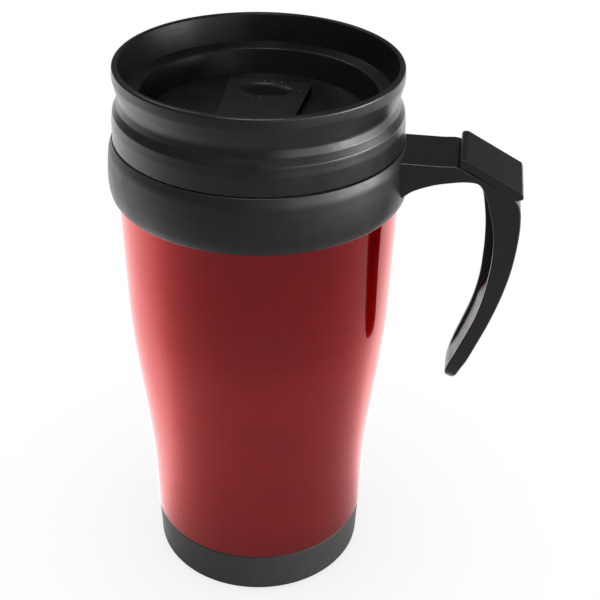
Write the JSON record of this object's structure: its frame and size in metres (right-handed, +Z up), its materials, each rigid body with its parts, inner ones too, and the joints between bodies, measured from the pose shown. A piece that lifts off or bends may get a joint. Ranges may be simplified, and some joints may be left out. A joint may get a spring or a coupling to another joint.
{
  "type": "insulated travel mug",
  "caption": "Double-walled travel mug with a flared waist, steel liner, screw-on lid with sliding sip closure, and an open C handle with a thumb rest.",
  "frame": {"origin": "centre of the foot pad's flat underside, where the mug stands on a table", "axes": "+Z up along the mug's own axis, +X towards the handle, -Y towards the sip opening in the lid"},
  "size_m": [0.1261, 0.0918, 0.179],
  "materials": {
    "foot_rubber": "matte black anti-slip pad",
    "base_plastic": "fine-grained charcoal polypropylene",
    "red_clear_plastic": "glossy deep red, slightly see-through, metallic sheen",
    "liner_steel": "satin stainless steel",
    "liner_seal_rubber": "soft silicone",
    "collar_plastic": "satin black polypropylene",
    "handle_plastic": "satin black polypropylene",
    "thumb_rest_plastic": "satin black polypropylene",
    "lid_plastic": "satin black polypropylene",
    "plug_plastic": "satin black polypropylene",
    "gasket_rubber": "translucent silicone",
    "slider_plastic": "satin black polypropylene",
    "slider_seal_rubber": "translucent silicone",
    "clip_plastic": "satin black polypropylene"
  },
  "bodies": {
    "mug": {"base_foot_pad": "foot_rubber", "base_cap": "base_plastic", "outer_shell": "red_clear_plastic", "inner_liner": "liner_steel", "liner_seal": "liner_seal_rubber", "collar_ring": "collar_plastic", "handle": "handle_plastic", "thumb_rest": "thumb_rest_plastic"},
    "lid_seal_ring": {"lid_gasket": "gasket_rubber"},
    "lid": {"lid_body": "lid_plastic", "lid_plug": "plug_plastic"},
    "slider": {"sip_slider": "slider_plastic", "slider_seal": "slider_seal_rubber", "slider_clip": "clip_plastic"}
  },
  "joints": [
    {"name": "lid_lift", "type": "slide", "parent": "mug", "child": "lid_seal_ring", "axis": [0, 0, 1], "range_m": [0, 0.006]},
    {"name": "lid_turn", "type": "hinge", "parent": "lid_seal_ring", "child": "lid", "pos_m": [0, 0, 0.1562], "axis": [0, 0, 1], "range_deg": [0, 540]},
    {"name": "slider_slide", "type": "slide", "parent": "lid", "child": "slider", "axis": [0, 1, 0], "range_m": [0, 0.008]}
  ],
  "couplings": [
    {"joint": "lid_lift", "follows": "lid_turn", "m_per_rad": 0.00063661}
  ]
}
